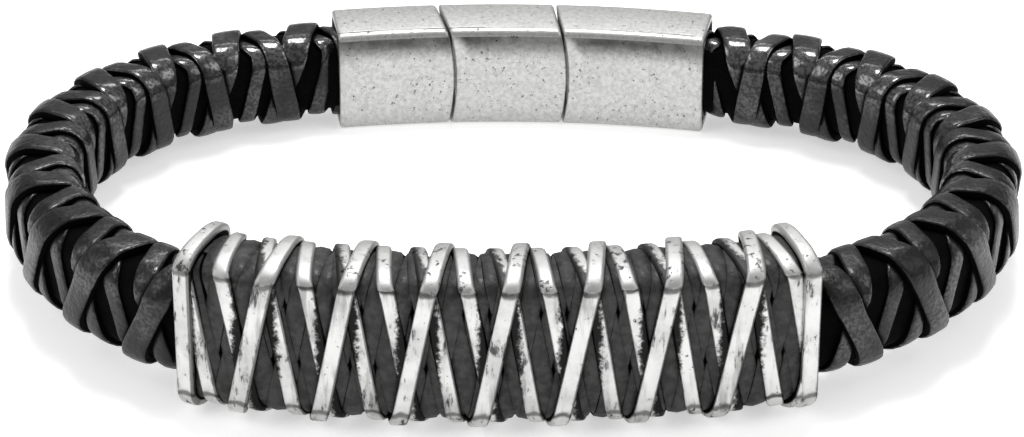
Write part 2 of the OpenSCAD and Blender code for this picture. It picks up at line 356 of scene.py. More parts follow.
middlePoints = []
for i in range(loop["samples"] + 1):
    s = halfLoop * (2 * i / loop["samples"] - 1)
    middlePoints.append(spot(min(halfLoop - 1e-6, max(1e-6 - halfLoop, s)), 0, 0))
middleLine = polyCurve("middleLine", middlePoints, False)

# one kind of tree winds a flat strip round and round the strap while it moves along it, in metres
stripInputs = {
    "NodeSocketObject": {"Middle line": None, "Section": None},
    "NodeSocketMaterial": {"Material": None},
    "NodeSocketBool": {"Closed ring": False},
    "NodeSocketInt": {"Steps in a turn": 48, "Strands": 1, "Face cuts": 3, "Edge cuts": 2},
    "NodeSocketFloat": {
        "Side": 1.0, "Start": 0.0, "Pitch": 0.006, "First turn": 0.0, "Last turn": 1.0, "Strand step": 0.0,
        "Width": 0.002, "Thickness": 0.0009, "Edge": 0.0002, "Crown": 0.0, "Depth": 0.0, "Lift": 0.0,
        "Low end": 0.0, "High end": 1.0, "Squeeze": 0.12,
        "Taper from": 0.0, "Taper to": 1.0, "Far height": 1.0, "Far thickness": 1.0,
        "Pinch low": 0.0, "Pinch high": 0.0, "Pinch length": 0.0015,
        "Fan": 0.0, "Wander": 0.0, "Width wander": 0.0, "Lift wander": 0.0, "Seed": 0.0,
        "Crossing start": 0.0, "Crossing pitch": 0.006, "Crossing half width": 0.0,
        "Crossing dip": 0.0, "Crossing reach": 0.0009, "Weave count": 1.0, "Weave rise": 0.0,
    },
}
level = [(0.0, 1.0), (1.0, 1.0)]
flat = [(0.0, 0.0), (1.0, 0.0)]
steady = [(0.0, 0.0), (1.0, 1.0)]


def stripTree(name, moveCurve, liftCurve, crossingCurve=steady, fanCurve=flat):
    tree = bpy.data.node_groups.new(name, "GeometryNodeTree")
    tree.interface.new_socket(name="Geometry", in_out="OUTPUT", socket_type="NodeSocketGeometry")
    for kind, labels in stripInputs.items():
        for label, value in labels.items():
            socket = tree.interface.new_socket(name=label, in_out="INPUT", socket_type=kind)
            if value is not None:
                socket.default_value = value
    net = Net(tree)
    size = net.add("NodeGroupInput").out

    # the flat strip: a line with a point for each step, and a rounded flat profile
    turns = size("Last turn") - size("First turn")
    steps = size("Steps in a turn")
    line = net.add("GeometryNodeCurvePrimitiveLine", {}, {"End": (1.0, 0.0, 0.0)})
    line = net.add("GeometryNodeResampleCurve", {}, {"Curve": line, "Count": turns * steps + 1.0})
    circle = net.add("GeometryNodeCurvePrimitiveCircle", {}, {"Resolution": steps, "Radius": 1.0})
    path = net.add("GeometryNodeSwitch", {"input_type": "GEOMETRY"},
                   {"Switch": size("Closed ring"), "False": line, "True": circle})
    copies = net.add("GeometryNodeDuplicateElements", {"domain": "SPLINE"},
                     {"Geometry": path, "Amount": size("Strands")})
    turnNow = net.add("GeometryNodeSplineParameter").out("Index") / steps + size("First turn")
    marked = net.add("GeometryNodeCaptureAttribute", {"capture": [("FLOAT", "turn"), ("FLOAT", "strand")]},
                     {"Geometry": copies, "turn": turnNow, "strand": copies.out("Duplicate Index")})
    turn, strand = marked.out("turn"), marked.out("strand")
    profile = net.add("GeometryNodeCurvePrimitiveQuadrilateral", {},
                      {"Width": size("Width"), "Height": size("Thickness")})
    profile = net.add("GeometryNodeSubdivideCurve", {}, {"Curve": profile, "Cuts": size("Face cuts")})
    profile = net.add("GeometryNodeFilletCurve", {"mode": "POLY"},
                      {"Curve": profile, "Count": size("Edge cuts"), "Radius": size("Edge")})
    profile = net.add("GeometryNodeCaptureAttribute", {"capture": [("VECTOR", "lie")]},
                      {"Geometry": profile, "lie": net.add("GeometryNodeInputPosition")})
    lie = profile.out("lie")
    strip = net.add("GeometryNodeCurveToMesh", {},
                    {"Curve": marked, "Profile Curve": profile, "Fill Caps": True})
    across = lie.part("X")
    edge = across / size("Width") * 2.0
    below = lie.part("Y") - size("Thickness") * 0.5
    crowned = below + size("Crown") * (1.0 - edge * edge) * (1.0 + below / size("Thickness"))

    # the place along the strap
    whole = turn.through("FLOOR")
    share = turn - whole
    moved, raised, crossing, fanned = (
        net.add("ShaderNodeFloatCurve", {"curve": curve}, {"Value": share})
        for curve in (moveCurve, liftCurve, crossingCurve, fanCurve))

    def wander(scale, shift):
        return net.noise(net.joined(turn * scale, strand * 7.3 + shift, size("Seed")), 1.0, 1.0) - 0.5

    wide = 1.0 + size("Width wander") * wander(2.1, 3.0) + size("Fan") * fanned
    s = size("Start") + size("Pitch") * (whole + moved) + strand * size("Strand step")
    s = s + across * wide + size("Wander") * wander(2.7, 11.0)
    low, high = size("Low end"), size("High end")
    under = (low - s).least(0.0)
    over = (s - high).least(0.0)
    s = s.least(low).most(high) - under * size("Squeeze") + over * size("Squeeze")
    taper = s.ramp(size("Taper from"), size("Taper to"))
    nearLow = (s - low).ramp(0.0, size("Pinch length"), 1.0, 0.0)
    nearHigh = (high - s).ramp(0.0, size("Pinch length"), 1.0, 0.0)
    highScale = 1.0 - taper * (1.0 - size("Far height"))
    pinched = 1.0 - nearLow * size("Pinch low") - nearHigh * size("Pinch high")
    thickScale = (1.0 - taper * (1.0 - size("Far thickness"))) * pinched

    # strands that cross pass over and under one another by turns
    way = size("Pitch").through("SIGN")
    both = (s - size("Start")) / size("Pitch") * way
    own = (size("Weave count") * (both - way * (whole + moved))).through("ROUND")
    crossed = size("Weave count") * (both + way * (whole + moved))
    woven = ((own + crossed) * math.pi).through("COSINE")

    # how far this place is from the edge of the strip that crosses on top
    pace = size("Crossing pitch")
    phase = (s - size("Crossing start")) / pace - crossing
    phase = (phase + 0.5).through("FRACT") - 0.5
    apart = phase.through("ABSOLUTE") * pace - size("Crossing half width")

    # from the flat strip to the strap's surface
    lineShape = net.add("GeometryNodeObjectInfo", {}, {"Object": size("Middle line")}).out("Geometry")
    lineLength = net.add("GeometryNodeCurveLength", {}, {"Curve": lineShape})
    there = net.add("GeometryNodeSampleCurve", {"mode": "LENGTH", "use_all_curves": True},
                    {"Curves": lineShape, "Length": s * size("Side") + lineLength * 0.5}).out("Position")
    ahead = there.out("Tangent")
    outward = net.joined(ahead.part("Y"), -ahead.part("X")).through("NORMALIZE")
    sectionShape = net.add("GeometryNodeObjectInfo", {}, {"Object": size("Section")}).out("Geometry")
    rim = net.add("GeometryNodeSampleCurve", {"mode": "FACTOR", "use_all_curves": True},
                  {"Curves": sectionShape, "Factor": share}).out("Position")
    along = rim.out("Tangent")
    dip = apart.ramp(0.0, size("Crossing reach"), 1.0, 0.0)
    offset = size("Depth") + raised * size("Lift") + crowned + size("Lift wander") * wander(3.3, 23.0)
    offset = offset - dip * (1.0 - raised) * size("Crossing dip") + size("Weave rise") * woven
    outPart = rim.part("X") * thickScale + along.part("Y") * offset
    upPart = rim.part("Y") * highScale - along.part("X") * offset
    place = there + outward * outPart + net.joined(z=upPart)
    shape = net.add("GeometryNodeSetPosition", {}, {"Geometry": strip, "Position": place})

    # what the materials read: the share across and around, and two distances in millimetres
    notes = {"across": edge, "around": share, "apart": (apart + raised * (2 * mm)) * toMm, "deep": below * toMm}
    for label, value in notes.items():
        shape = net.add("GeometryNodeStoreNamedAttribute", {"data_type": "FLOAT", "domain": "POINT"},
                        {"Geometry": shape, "Name": label, "Value": value})
    shape = net.add("GeometryNodeRealizeInstances", {}, {"Geometry": shape})
    shape = net.add("GeometryNodeSetMaterial", {}, {"Geometry": shape, "Material": size("Material")})
    net.add("NodeGroupOutput", {}, {"Geometry": shape})
    return tree


def outwardMesh(mesh):
    shape = bmesh.new()
    shape.from_mesh(mesh)
    bmesh.ops.remove_doubles(shape, verts=shape.verts, dist=1e-7)
    bmesh.ops.recalc_face_normals(shape, faces=shape.faces)
    for face in shape.faces:
        face.smooth = True
    shape.to_mesh(mesh)
    shape.free()
    return mesh


def inMetres(lengths):
    return {label: length * mm for label, length in lengths.items()}


def runTree(name, tree, sizes):
    # the tree runs once on an empty object, and its result is kept as a plain mesh
    holder = newObject(name + "Maker", bpy.data.meshes.new(name + "Maker"))
    modifier = holder.modifiers.new("maker", "NODES")
    modifier.node_group = tree
    keys = {item.name: item.identifier for item in tree.interface.items_tree if item.in_out == "INPUT"}
    for label, value in sizes.items():
        modifier[keys[label]] = value
    graph = bpy.context.evaluated_depsgraph_get()
    mesh = bpy.data.meshes.new_from_object(holder.evaluated_get(graph))
    bpy.data.objects.remove(holder)
    return outwardMesh(mesh)


def tube(rings, paint, notes=None):
    # rings of equal length joined into one closed skin, with one number for each point in each note
    count = len(rings[0])
    points = [tuple(p) for ring in rings for p in ring]
    faces = []
    for i in range(len(rings) - 1):
        for j in range(count):
            a, b = i * count + j, i * count + (j + 1) % count
            faces.append((a, b, b + count, a + count))
    faces.append(tuple(range(count - 1, -1, -1)))
    faces.append(tuple(range(len(points) - count, len(points))))
    mesh = bpy.data.meshes.new("tube")
    mesh.from_pydata(points, [], faces)
    for label, values in (notes or {}).items():
        mesh.attributes.new(label, "FLOAT", "POINT").data.foreach_set("value", values)
    mesh.materials.append(paint)
    return outwardMesh(mesh)


def piece(name, meshes, node):
    # joins finished meshes into one named object that rides on the part
    things = [newObject(name, mesh) for mesh in meshes]
    if len(things) > 1:
        with bpy.context.temp_override(active_object=things[0], selected_editable_objects=things):
            bpy.ops.object.join()
    whole = things[0]
    whole.name = name
    whole.data.name = name
    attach(whole, "root")
    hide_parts(node)
    print(name, len(whole.data.polygons), "faces")


# materials
def newMaterial(name):
    material = bpy.data.materials.new(name)
    material.use_nodes = True
    material.node_tree.nodes.clear()
    net = Net(material.node_tree)
    return material, net, net.add("ShaderNodeTexCoord").out("Object")


# the near-black dull finish, mixed in for grime and for painted shade
grimeAndShadeLook = {"Base Color": (0.0012, 0.0012, 0.0012), "Roughness": 0.8, "Specular IOR Level": 0.04}


def finishMaterial(net, values, height=None, bump=None, grimeAndShade=None):
    if height is not None:
        distance, strength = bump
        values["Normal"] = net.add("ShaderNodeBump", {}, {"Height": height, "Distance": distance,
                                                          "Strength": strength}).out("Normal")
    shader = net.add("ShaderNodeBsdfPrincipled", {}, values)
    if grimeAndShade is not None:
        dull = net.add("ShaderNodeBsdfPrincipled", {}, grimeAndShadeLook)
        shader = net.add("ShaderNodeMixShader", {}, {0: grimeAndShade, 1: shader, 2: dull})
    net.add("ShaderNodeOutputMaterial", {}, {"Surface": shader})


leather = {
    "dark": (0.002, 0.002, 0.0022), "light": (0.005, 0.005, 0.0053), "worn": (0.17, 0.17, 0.166),
    "rough": 0.22, "wear": 0.34, "shine": 0.26, "polish": 0.9, "polishRough": 0.14, "polishIor": 2.3,
    "grain": 2600.0, "fine": 1400.0, "patch": 170.0, "scuff": 620.0, "sparkle": 3600.0,
    "bump": (0.00016, 0.65),
}
# painted shade: the bed under the laces and the braid is dark leather painted near black, so the deep gaps read
# as shadow
shadowBedLeather = leather | {
    "dark": (0.0008, 0.0008, 0.0008), "light": (0.0018, 0.0018, 0.0018), "wear": 0.0,
    "rough": 0.7, "shine": 0.04, "polish": 0.0,
}
coreLeather = leather | {
    "dark": (0.018, 0.018, 0.0185), "light": (0.046, 0.046, 0.047), "wear": 0.15,
    "rough": 0.42, "polish": 0.15,
}


def leatherMaterial(name, look, wallDepth=None, creviceShade=None, bend=None):
    material, net, where = newMaterial(name)
    grain = net.add("ShaderNodeTexVoronoi", {"feature": "F1"},
                    {"Vector": where, "Scale": look["grain"]}).out("Distance")
    fine = net.noise(where, look["fine"], 5.0)
    patch = net.noise(where, look["patch"], 3.0)
    scuff = net.noise(where, look["scuff"], 6.0, 0.75)
    sparkle = net.noise(where, look["sparkle"], 2.0)
    wear = (patch * 0.45 + scuff * 0.55).ramp(0.53, 0.66) * look["wear"]
    color = net.mix(fine.ramp(0.35, 0.7), look["dark"], look["light"])
    color = net.mix(wear, color, look["worn"])
    grimeAndShade = None
    if wallDepth:
        # dark cut walls, and painted shade where another strip crosses on top
        grimeAndShade = net.attribute("deep").ramp(-wallDepth, -0.4 * wallDepth, 1.0, 0.0)
        grimeAndShade = grimeAndShade.least(net.attribute("apart").ramp(0.3 * creviceShade, creviceShade, 1.0, 0.0))
    rough = look["rough"] + 0.16 * fine + 0.10 * patch + 0.2 * wear
    height = fine * 0.5 + grain * 0.35 + scuff * 0.7
    coat = patch.ramp(0.40, 0.60, 0.1, 1.0) * sparkle.ramp(0.42, 0.60, 0.2, 1.0) * look["polish"] * 0.3
    if bend:
        # rubbed to a shine where a lace bends over the inner edge
        around = net.attribute("around")
        bent = around.ramp(bend - 0.07, bend - 0.02) * around.ramp(bend + 0.02, bend + 0.07, 1.0, 0.0)
        coat = coat.least(bent * sparkle.ramp(0.40, 0.58, 0.3, 1.0) * patch.ramp(0.35, 0.50, 0.4, 1.0))
    values = {"Base Color": color, "Roughness": rough, "Specular IOR Level": look["shine"],
              "Coat Weight": coat, "Coat Roughness": look["polishRough"], "Coat IOR": look["polishIor"]}
    finishMaterial(net, values, height, look["bump"], grimeAndShade)
    return material


silver = {
    "bright": (0.62, 0.62, 0.61), "mid": (0.45, 0.45, 0.445), "shade": (0.18, 0.18, 0.175),
    "hidden": (0.045, 0.045, 0.045), "rough": 0.27, "pits": 0.85, "pitFrom": 0.545, "pitTo": 0.625,
    "cloud": 240.0, "speck": 2200.0, "streak": 1700.0, "smear": 900.0, "creaseShadeWidth": 0.36,
    "bump": (0.00005, 0.6),
}


def silverMaterial(name, look, wallDepth, hiding=None):
    material, net, where = newMaterial(name)
    cloud = net.noise(where, look["cloud"], 5.0, 0.6)
    speck = net.noise(where, look["speck"], 3.0, 0.7)
    streak = net.noise(net.stretched(where, 0.25), look["streak"], 4.0, 0.65)
    smear = net.noise(net.stretched(where, 0.16), look["smear"], 5.0, 0.6)
    deep, around, across = (net.attribute(label) for label in ("deep", "around", "across"))
    ragged = (speck - 0.5) * 2.2 + (cloud - 0.5) * 1.4
    grimeAndShade = (cloud * 0.45 + streak * 0.55).ramp(look["pitFrom"], look["pitTo"]) * look["pits"]
    grimeAndShade = grimeAndShade.least(speck.ramp(0.66, 0.72) * look["pits"])
    grimeAndShade = grimeAndShade.least(deep.ramp(-wallDepth - 0.12, -wallDepth, 1.0, 0.0))
    color = net.mix(cloud.ramp(0.4, 0.65), look["bright"], look["mid"])
    color = net.mix(smear.ramp(0.50, 0.68) * 0.65, color, look["shade"])
    # painted shade: one side of each bar darker, where across runs past 0.66
    color = net.mix((across + ragged * 0.05).ramp(0.66, 0.80), color, look["shade"])
    # painted shade: the arch over the top painted greyer than the outer face, and also made rougher
    archStart = creases[1][0]
    arch = around.ramp(archStart - 0.004, archStart + 0.012)
    color = net.mix(arch * 0.75, color, look["mid"])
    # painted shade: a dark line along the bend at the foot and at the top of the outer face, where the bend
    # reflects the dark between the lamps
    for place, bend in creases:
        arched = (around - place) * girth - bend * across * across + (cloud - 0.5) * 1.2
        line = arched.through("ABSOLUTE") + (speck - 0.5) * 0.3
        line = line.ramp(0.2 * look["creaseShadeWidth"], look["creaseShadeWidth"], 0.9, 0.0)
        grimeAndShade = grimeAndShade.least(line * cloud.ramp(0.3, 0.6, 1.0, 0.7))
    if hiding:
        # the part of a lower bar that stays blackened: it narrows or widens down the outer face
        down = around.ramp(footCrease, topCrease, 1.0, 0.0, "LINEAR")
        limit = hiding["top"] + (hiding["bottom"] - hiding["top"]) * down
        limit = limit + around.ramp(topCrease, topCrease + 0.12, 0.0, 1.3 * hiding["above"])
        limit = limit + down.ramp(0.74, 0.92, 0.0, hiding["tail"])
        hidden = (across * hiding["side"] - limit + ragged * 0.9).ramp(-0.45, 0.35)
        onFace = around.ramp(topCrease, topCrease + 0.012, 1.0, 0.0)
        grimeAndShade = grimeAndShade.least(hidden * onFace * 0.75)
        color = net.mix(hidden * onFace.least(hiding["above"]), color, look["hidden"])
    rough = look["rough"] + 0.15 * speck + 0.18 * arch
    height = speck * 0.4 + cloud * 0.6 - grimeAndShade
    finishMaterial(net, {"Base Color": color, "Metallic": 1.0, "Roughness": rough}, height, look["bump"], grimeAndShade)
    return material


# laces
lace = {
    "pitch": 6.25, "width": 1.98, "innerWidth": 1.5, "underWidth": 1.38, "thick": 0.75,
    "edge": 0.17, "crown": 0.06, "corner": 1.6, "outerStart": 27.3, "steps": 48,
    "bury": 1.92,  # how much smaller than the strap the section is that the layers are measured from
    "top": 0.92, "crossTop": 0.82, "low": 0.66, "underLow": 0.46,  # where their outer faces lie
    "dip": 0.22, "dipReach": 0.8, "fan": 0.4,
    "wander": 0.35, "widthWander": 0.2, "liftWander": 0.08,
    "wallDepth": 0.16, "creviceShade": 0.58,
    # moves along the strap on the outer side, the top, the wrist side and the foot
    "outerMoves": (-0.45, -0.22, -0.40, 0.07),
    "innerMoves": (0.3, 0.22, 0.16, 0.32),
    "underMoves": (0.3, 0.5, -0.24, 0.44),
}
laceSection = (strap["frontHigh"] - lace["bury"], strap["frontThick"] - lace["bury"],
               lace["corner"], lace["corner"], lace["corner"])
laceShares = cornerShares(laceSection)
laceOutline = sectionCurve("laceOutline", laceSection)
lacePaint = leatherMaterial("laceLeather", leather, lace["wallDepth"], lace["creviceShade"], laceShares[2])


def fanStops(innerTop, bent, wrist):
    # how much wider a lace gets on the top, at the bend over the inner edge and on the wrist side
    outerEdge, innerEdge, foot = laceShares[1:4]
    return [(0.0, 0.0), (outerEdge - 0.10, 0.0), (outerEdge + 0.02, 0.55), (innerEdge - 0.02, innerTop),
            (innerEdge + 0.08, bent), (foot - 0.05, wrist), (1.0, 0.0)]


outerStops = moveStops(lace["outerMoves"], laceShares)
innerStops = moveStops(lace["innerMoves"], laceShares)
outerFromInner = [(place, 1.0 - moved) for place, moved in outerStops]
outerTree = stripTree("outerLaceWinding", outerStops,
                      [(0.0, 1.0), (0.44, 1.0), (0.53, 0.0), (0.74, 0.0), (0.84, 1.0), (1.0, 1.0)],
                      innerStops, fanStops(0.55, 0.1, 0.0))
innerTree = stripTree("innerLaceWinding", innerStops,
                      [(0.0, 0.0), (0.36, 0.0), (0.44, 1.0), (0.88, 1.0), (0.96, 0.0), (1.0, 0.0)],
                      outerFromInner, fanStops(0.7, 1.0, 1.0))
underTree = stripTree("underLaceWinding", moveStops(lace["underMoves"], laceShares), flat,
                      outerFromInner, fanStops(0.55, 0.1, 0.0))


def laceSizes(side, seed, start, way, width, depth, first, last, crossStart, crossWidth):
    low, end = (sleeve["right"], clasp["rightEnd"]) if side > 0 else (sleeve["left"], clasp["leftEnd"])
    top = lace["top"] if way < 0 else lace["crossTop"]
    return {
        "Middle line": middleLine, "Section": laceOutline, "Material": lacePaint, "Side": float(side),
        "First turn": first, "Last turn": last, "Steps in a turn": lace["steps"],
        "Far height": (strap["backHigh"] - lace["bury"]) / laceSection[0],
        "Far thickness": (strap["backThick"] - lace["bury"]) / laceSection[1],
        "Pinch low": 0.3, "Pinch high": 0.42, "Fan": lace["fan"], "Width wander": lace["widthWander"],
        "Seed": seed,
    } | inMetres({
        "Start": start, "Pitch": way * lace["pitch"], "Width": width, "Thickness": lace["thick"],
        "Edge": lace["edge"], "Crown": lace["crown"], "Depth": depth, "Lift": top - lace["low"],
        "Low end": low, "High end": halfLoop - end, "Pinch length": 1.6,
        "Taper from": sleeve["left"], "Taper to": claspStart,
        "Wander": lace["wander"], "Lift wander": lace["liftWander"],
        "Crossing start": crossStart, "Crossing pitch": lace["pitch"], "Crossing half width": crossWidth / 2,
        "Crossing dip": lace["dip"], "Crossing reach": lace["dipReach"],
    })


outerStart = lace["outerStart"]
innerStart = outerStart - 0.47 * lace["pitch"]
underStart = innerStart - 0.5 * lace["pitch"]
laceLayers = {  # tree; start, way, width, depth, first and last turn; start and width of the lace on top
    "outer": (outerTree, outerStart, -1, lace["width"], lace["low"], -9.3, 1.3,
              innerStart, lace["innerWidth"] * 1.25),
    "inner": (innerTree, innerStart, 1, lace["innerWidth"], lace["low"], -0.9, 9.8,
              outerStart, lace["width"]),
    "under": (underTree, underStart, 1, lace["underWidth"], lace["underLow"], -0.9, 10.3,
              outerStart, lace["width"]),
}
for side, word in ((-1, "left"), (1, "right")):
    seed = 3.7 * side + 9.0
    for label, (tree, *sizes) in laceLayers.items():
        seed += 5.1
        mesh = runTree(word + label, tree, laceSizes(side, seed, *sizes))
        piece(word + label.capitalize() + "Lace", [mesh], word + "_" + label + "_lace")
print("laces wound")

# the sleeve's bars: the upper ones, and two sets below them that run the other way
bars = {
    "pitch": 5.8, "thick": 0.8, "edge": 0.2, "crown": 0.04, "steps": 64, "inset": 0.8, "squeeze": 0.08,
    "overMoves": (0.44, 0.12, 0.29, 0.15), "overStart": -1.8, "overWidth": 1.32, "overTurns": (-3.4, 5.1),
    "underMoves": [(0.385, 0.09, 0.34, 0.185), (0.365, 0.16, 0.31, 0.165)], "underStarts": [-0.4, 2.5],
    "underWidth": 1.2, "underDepth": 0.36, "underDip": 0.06, "underTurns": (-4.9, 5.1),
    "wander": 0.12, "widthWander": 0.12, "liftWander": 0.05, "overWall": 0.26, "underWall": 0.22,
}
ring = {"width": 1.22, "thick": 1.04, "edge": 0.22, "crown": 0.05, "lip": 0.12, "steps": 96, "wall": 0.40}

# core: a round bed under the laces, its dark leather painted near black as shade in the deep gaps, braided
# strands inside the sleeve, and two cut ends in its rings
core = {
    "inset": 0.66, "strands": 3, "strandWidth": 1.76, "strandThick": 0.45, "strandEdge": 0.19, "crown": 0.07,
    "pitch": 5.5, "weave": 0.15, "moves": (0.42, 0.08, 0.42, 0.08), "turns": 4.6, "steps": 56,
    "wander": 0.15, "widthWander": 0.1, "liftWander": 0.12, "fromEnd": 0.7, "wallDepth": 0.12, "creviceShade": 0.5,
    "cutEnd": ((-0.8, 0.5), (0.12, 0.5), (0.28, 0.62), (0.35, 0.95)),  # how far out, how far inside the braid
}
bed = {
    "step": 0.8, "over": 0.3, "corner": 1.7, "inset": 0.45,
    "intoSleeve": 0.9, "intoLeft": 3.4, "intoRight": 4.0,
}


def insetSleeve(inset):
    return (sleeve["high"] - 2 * inset, sleeve["thick"] - 2 * inset,
            sleeve["archRise"], sleeve["footDrop"] - 0.5 * inset, sleeve["cornerReach"] - inset,
            sleeve["out"], sleeve["high"] / 2 - strap["frontLevel"])


coreOutline = sectionCurve("coreOutline", insetSleeve(core["inset"]))
coreShares = cornerShares(insetSleeve(core["inset"]))
braidTree = stripTree("coreBraid", moveStops(core["moves"], coreShares), level,
                      moveStops(bars["overMoves"], coreShares))
coreEnds = (-sleeve["left"] + core["fromEnd"], sleeve["right"] - core["fromEnd"])
corePaint = leatherMaterial("coreLeather", coreLeather, core["wallDepth"], core["creviceShade"])
endPaint = leatherMaterial("cutLeather", coreLeather)
shadowBedPaint = leatherMaterial("shadowBedLeather", shadowBedLeather)
# where the upper bars cross: the lower bars dip there, and the braid beneath gets painted shade there
overCrossing = inMetres({
    "Crossing start": bars["overStart"], "Crossing pitch": bars["pitch"],
    "Crossing half width": bars["overWidth"] / 2,
})


def braidSizes(way, seed):
    return {
        "Middle line": middleLine, "Section": coreOutline, "Material": corePaint,
        "First turn": -core["turns"], "Last turn": core["turns"], "Steps in a turn": core["steps"],
        "Strands": core["strands"], "Face cuts": 1, "Edge cuts": 1, "Weave count": float(core["strands"]),
        "Width wander": core["widthWander"], "Seed": seed,
    } | overCrossing | inMetres({
        "Pitch": way * core["pitch"], "Strand step": core["pitch"] / core["strands"],
        "Width": core["strandWidth"], "Thickness": core["strandThick"], "Edge": core["strandEdge"],
        "Crown": core["crown"], "Depth": -core["weave"], "Weave rise": way * core["weave"],
        "Low end": coreEnds[0], "High end": coreEnds[1],
        "Wander": core["wander"], "Lift wander": core["liftWander"],
    })


def sectionRing(s, section):
    return [spot(s, out, up) for out, up in outline(*section, cornerSteps=6)]


def woundSection(s):
    high = strap["frontHigh"] + taperAt(s) * (strap["backHigh"] - strap["frontHigh"])
    thick = strap["frontThick"] + taperAt(s) * (strap["backThick"] - strap["frontThick"])
    return (high - lace["bury"] + bed["over"], thick - lace["bury"] + bed["over"],
            bed["corner"], bed["corner"], bed["corner"])


def bedMesh():
    stretches = ((-claspStart - bed["intoLeft"], -sleeve["left"] + bed["intoSleeve"], False),
                 (coreEnds[0], coreEnds[1], True),
                 (sleeve["right"] - bed["intoSleeve"], claspStart + bed["intoRight"], False))
    rings = []
    for fromEnd, toEnd, inSleeve in stretches:
        steps = max(2, int((toEnd - fromEnd) / bed["step"]))
        for i in range(steps + 1):
            s = fromEnd + (toEnd - fromEnd) * i / steps
            section = insetSleeve(core["inset"] + bed["inset"]) if inSleeve else woundSection(s)
            rings.append(sectionRing(s, section))
    return tube(rings, shadowBedPaint)


def cutEnd(end, way):
    rings = [sectionRing(end + way * out, insetSleeve(core["inset"] + inset)) for out, inset in core["cutEnd"]]
    return tube(rings, endPaint)


braids = [runTree("braid", braidTree, braidSizes(way, seed)) for way, seed in ((1, 4.0), (-1, 8.0))]
ends = [cutEnd(coreEnds[0], -1), cutEnd(coreEnds[1], 1)]
piece("braidedCore", [bedMesh()] + braids + ends, "leather_core")
print("core braided")

# sleeve
sleeveSection = insetSleeve(0.0)
sleeveOutline = sectionCurve("sleeveOutline", sleeveSection)
sleeveShares = cornerShares(sleeveSection)
sleeveWalk = walkShares(sleeveSection)
footCrease, topCrease = sleeveWalk[6], sleeveWalk[7]  # the lower and upper end of the outer face
sleevePoints = outline(*sleeveSection)
girth = sum(math.dist(a, b) for a, b in zip(sleevePoints, sleevePoints[1:]))
creases = ((footCrease, -0.30), (topCrease + 0.002, 0.12))  # place round the section, and bend
overStops = moveStops(bars["overMoves"], sleeveShares)
overTree = stripTree("overBarWinding", overStops, level)
underTrees = [stripTree("underBarWinding" + str(i), moveStops(moves, sleeveShares), level, overStops)
              for i, moves in enumerate(bars["underMoves"])]
overPaint = silverMaterial("overBarSilver", silver, bars["overWall"])
ringPaint = silverMaterial("ringSilver", silver, ring["wall"])
underPaints = [
    silverMaterial("upperBarSilver", silver, bars["underWall"],
                   {"side": 1.0, "top": 1.37, "bottom": -2.1, "above": 0.0, "tail": 2.2}),
    silverMaterial("lowerBarSilver", silver, bars["underWall"],
                   {"side": -1.0, "top": -1.0, "bottom": 1.6, "above": 1.0, "tail": 0.0}),
]


def barSizes(start, way, width, depth, dip, turns, seed, paint):
    return {
        "Middle line": middleLine, "Section": sleeveOutline, "Material": paint,
        "First turn": turns[0], "Last turn": turns[1], "Steps in a turn": bars["steps"],
        "Squeeze": bars["squeeze"], "Width wander": bars["widthWander"], "Seed": seed,
    } | overCrossing | inMetres({
        "Start": start, "Pitch": way * bars["pitch"], "Crossing dip": dip,
        "Width": width, "Thickness": bars["thick"], "Edge": bars["edge"], "Crown": bars["crown"],
        "Depth": -(ring["lip"] + depth),
        "Low end": -sleeve["left"] + bars["inset"], "High end": sleeve["right"] - bars["inset"],
        "Wander": bars["wander"], "Lift wander": bars["liftWander"],
    })


def ringSizes(start, seed):
    return {
        "Middle line": middleLine, "Section": sleeveOutline, "Material": ringPaint, "Closed ring": True,
        "Pitch": 0.0, "Steps in a turn": ring["steps"], "Low end": -1.0, "High end": 1.0, "Seed": seed,
    } | inMetres({
        "Start": start, "Width": ring["width"], "Thickness": ring["thick"], "Edge": ring["edge"],
        "Crown": ring["crown"],
    })


overSizes = barSizes(bars["overStart"], 1, bars["overWidth"], 0.0, 0.0, bars["overTurns"], 2.0, overPaint)
sleeveMeshes = [
    runTree("overBars", overTree, overSizes),
    runTree("leftRing", overTree, ringSizes(-sleeve["left"] + ring["width"] / 2, 1.0)),
    runTree("rightRing", overTree, ringSizes(sleeve["right"] - ring["width"] / 2, 2.0)),
]
for i, (tree, start, paint) in enumerate(zip(underTrees, bars["underStarts"], underPaints)):
    underSizes = barSizes(start, -1, bars["underWidth"], bars["underDepth"], bars["underDip"],
                          bars["underTurns"], 5.0 + i, paint)
    sleeveMeshes.append(runTree("underBars", tree, underSizes))
piece("castSleeve", sleeveMeshes, "front_sleeve")
print("sleeve cast")

# clasp
claspLook = {
    "bright": (0.54, 0.54, 0.53), "mid": (0.43, 0.43, 0.425), "shade": (0.05, 0.05, 0.049), "rough": 0.34,
    "cloud": 210.0, "mottle": 2600.0, "speck": 2900.0, "scratch": 420.0, "bump": (0.00005, 0.7),
}


